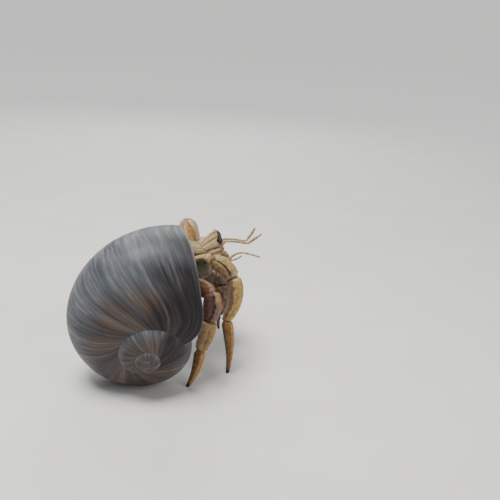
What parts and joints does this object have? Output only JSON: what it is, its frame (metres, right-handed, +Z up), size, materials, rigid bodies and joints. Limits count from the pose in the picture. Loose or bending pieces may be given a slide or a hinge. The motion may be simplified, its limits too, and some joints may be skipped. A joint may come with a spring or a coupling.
{
  "type": "hermit crab",
  "caption": "Land hermit crab walking forward on its legs, head and feelers out, carrying a smooth grey moon snail shell.",
  "frame": {"origin": "on the floor under the middle of the whole model's box", "axes": "+X the way the crab faces, +Y to the crab's left, +Z up"},
  "size_m": [0.0606, 0.0524, 0.047],
  "materials": {
    "shell": "smooth satin grey shell with fine growth streaks",
    "horn": "hard tan crust, slightly shiny, with fine grains",
    "shield_plate": "hard olive-tan plate, slightly shiny",
    "flesh": "soft matt skin",
    "eye": "glossy black",
    "claw": "hard brown crust with fine grains"
  },
  "bodies": {
    "root": {"abdomen": "flesh", "antenna_left": "horn", "antenna_right": "horn", "antennule_left": "horn", "antennule_right": "horn", "claw_left_arm": "claw", "claw_left_finger": "claw", "claw_left_hand": "claw", "claw_left_wrist": "claw", "claw_right_arm": "claw", "claw_right_finger": "claw", "claw_right_hand": "claw", "claw_right_wrist": "claw", "eye_left": "eye", "eye_right": "eye", "eyestalk_left": "horn", "eyestalk_right": "horn", "leg_2_left_carpus": "horn", "leg_2_left_dactyl": "horn", "leg_2_left_merus": "horn", "leg_2_left_propodus": "horn", "leg_2_right_carpus": "horn", "leg_2_right_dactyl": "horn", "leg_2_right_merus": "horn", "leg_2_right_propodus": "horn", "leg_3_left_carpus": "horn", "leg_3_left_dactyl": "horn", "leg_3_left_merus": "horn", "leg_3_left_propodus": "horn", "leg_3_right_carpus": "horn", "leg_3_right_dactyl": "horn", "leg_3_right_merus": "horn", "leg_3_right_propodus": "horn", "leg_4_left": "horn", "leg_4_right": "horn", "mouthpart_left": "claw", "mouthpart_right": "claw", "shell": "shell", "shield": "shield_plate", "thorax": "flesh"}
  },
  "joints": []
}
